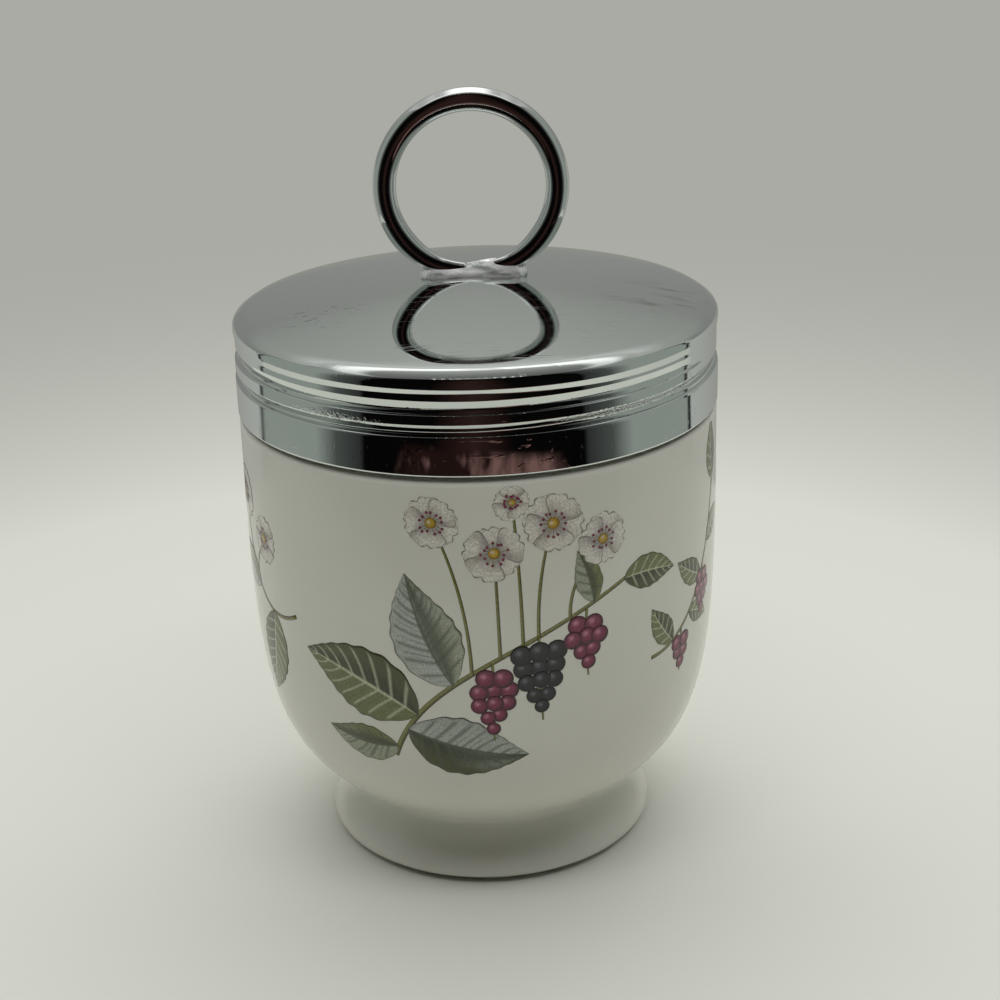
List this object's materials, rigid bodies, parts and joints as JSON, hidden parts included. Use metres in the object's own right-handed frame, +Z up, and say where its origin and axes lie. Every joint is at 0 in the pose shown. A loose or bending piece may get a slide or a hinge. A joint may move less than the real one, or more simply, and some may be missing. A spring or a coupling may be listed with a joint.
{
  "type": "egg coddler",
  "caption": "Footed porcelain cup with a threaded neck, a chromed screw lid and a lifting ring, for cooking eggs in hot water.",
  "frame": {"origin": "middle of the foot's resting circle", "axes": "+Z up along the cup's axis, the lifting ring's plane faces -Y"},
  "size_m": [0.0672, 0.0672, 0.1085],
  "materials": {
    "porcelain": "white body, clear gloss glaze, printed round the bowl",
    "plated_lid": "pressed sheet, bright plated, finely scratched",
    "plated_ring": "round wire, bright plated",
    "plated_solder": "soft solder, plated over, lumpy",
    "seal_rubber": "off-white, matt"
  },
  "bodies": {
    "cup": {"cup": "porcelain"},
    "seal": {"lid_seal": "seal_rubber"},
    "lid": {"lid_shell": "plated_lid", "lift_ring": "plated_ring", "ring_solder": "plated_solder"}
  },
  "joints": [
    {"name": "lid_lift", "type": "slide", "parent": "cup", "child": "seal", "axis": [0, 0, 1], "range_m": [0, 0.0159]},
    {"name": "lid_turn", "type": "hinge", "parent": "seal", "child": "lid", "pos_m": [0, 0, 0.0657], "axis": [0, 0, 1], "range_deg": [0, 1800]}
  ],
  "couplings": [
    {"joint": "lid_lift", "follows": "lid_turn", "m_per_rad": 0.00050532}
  ]
}
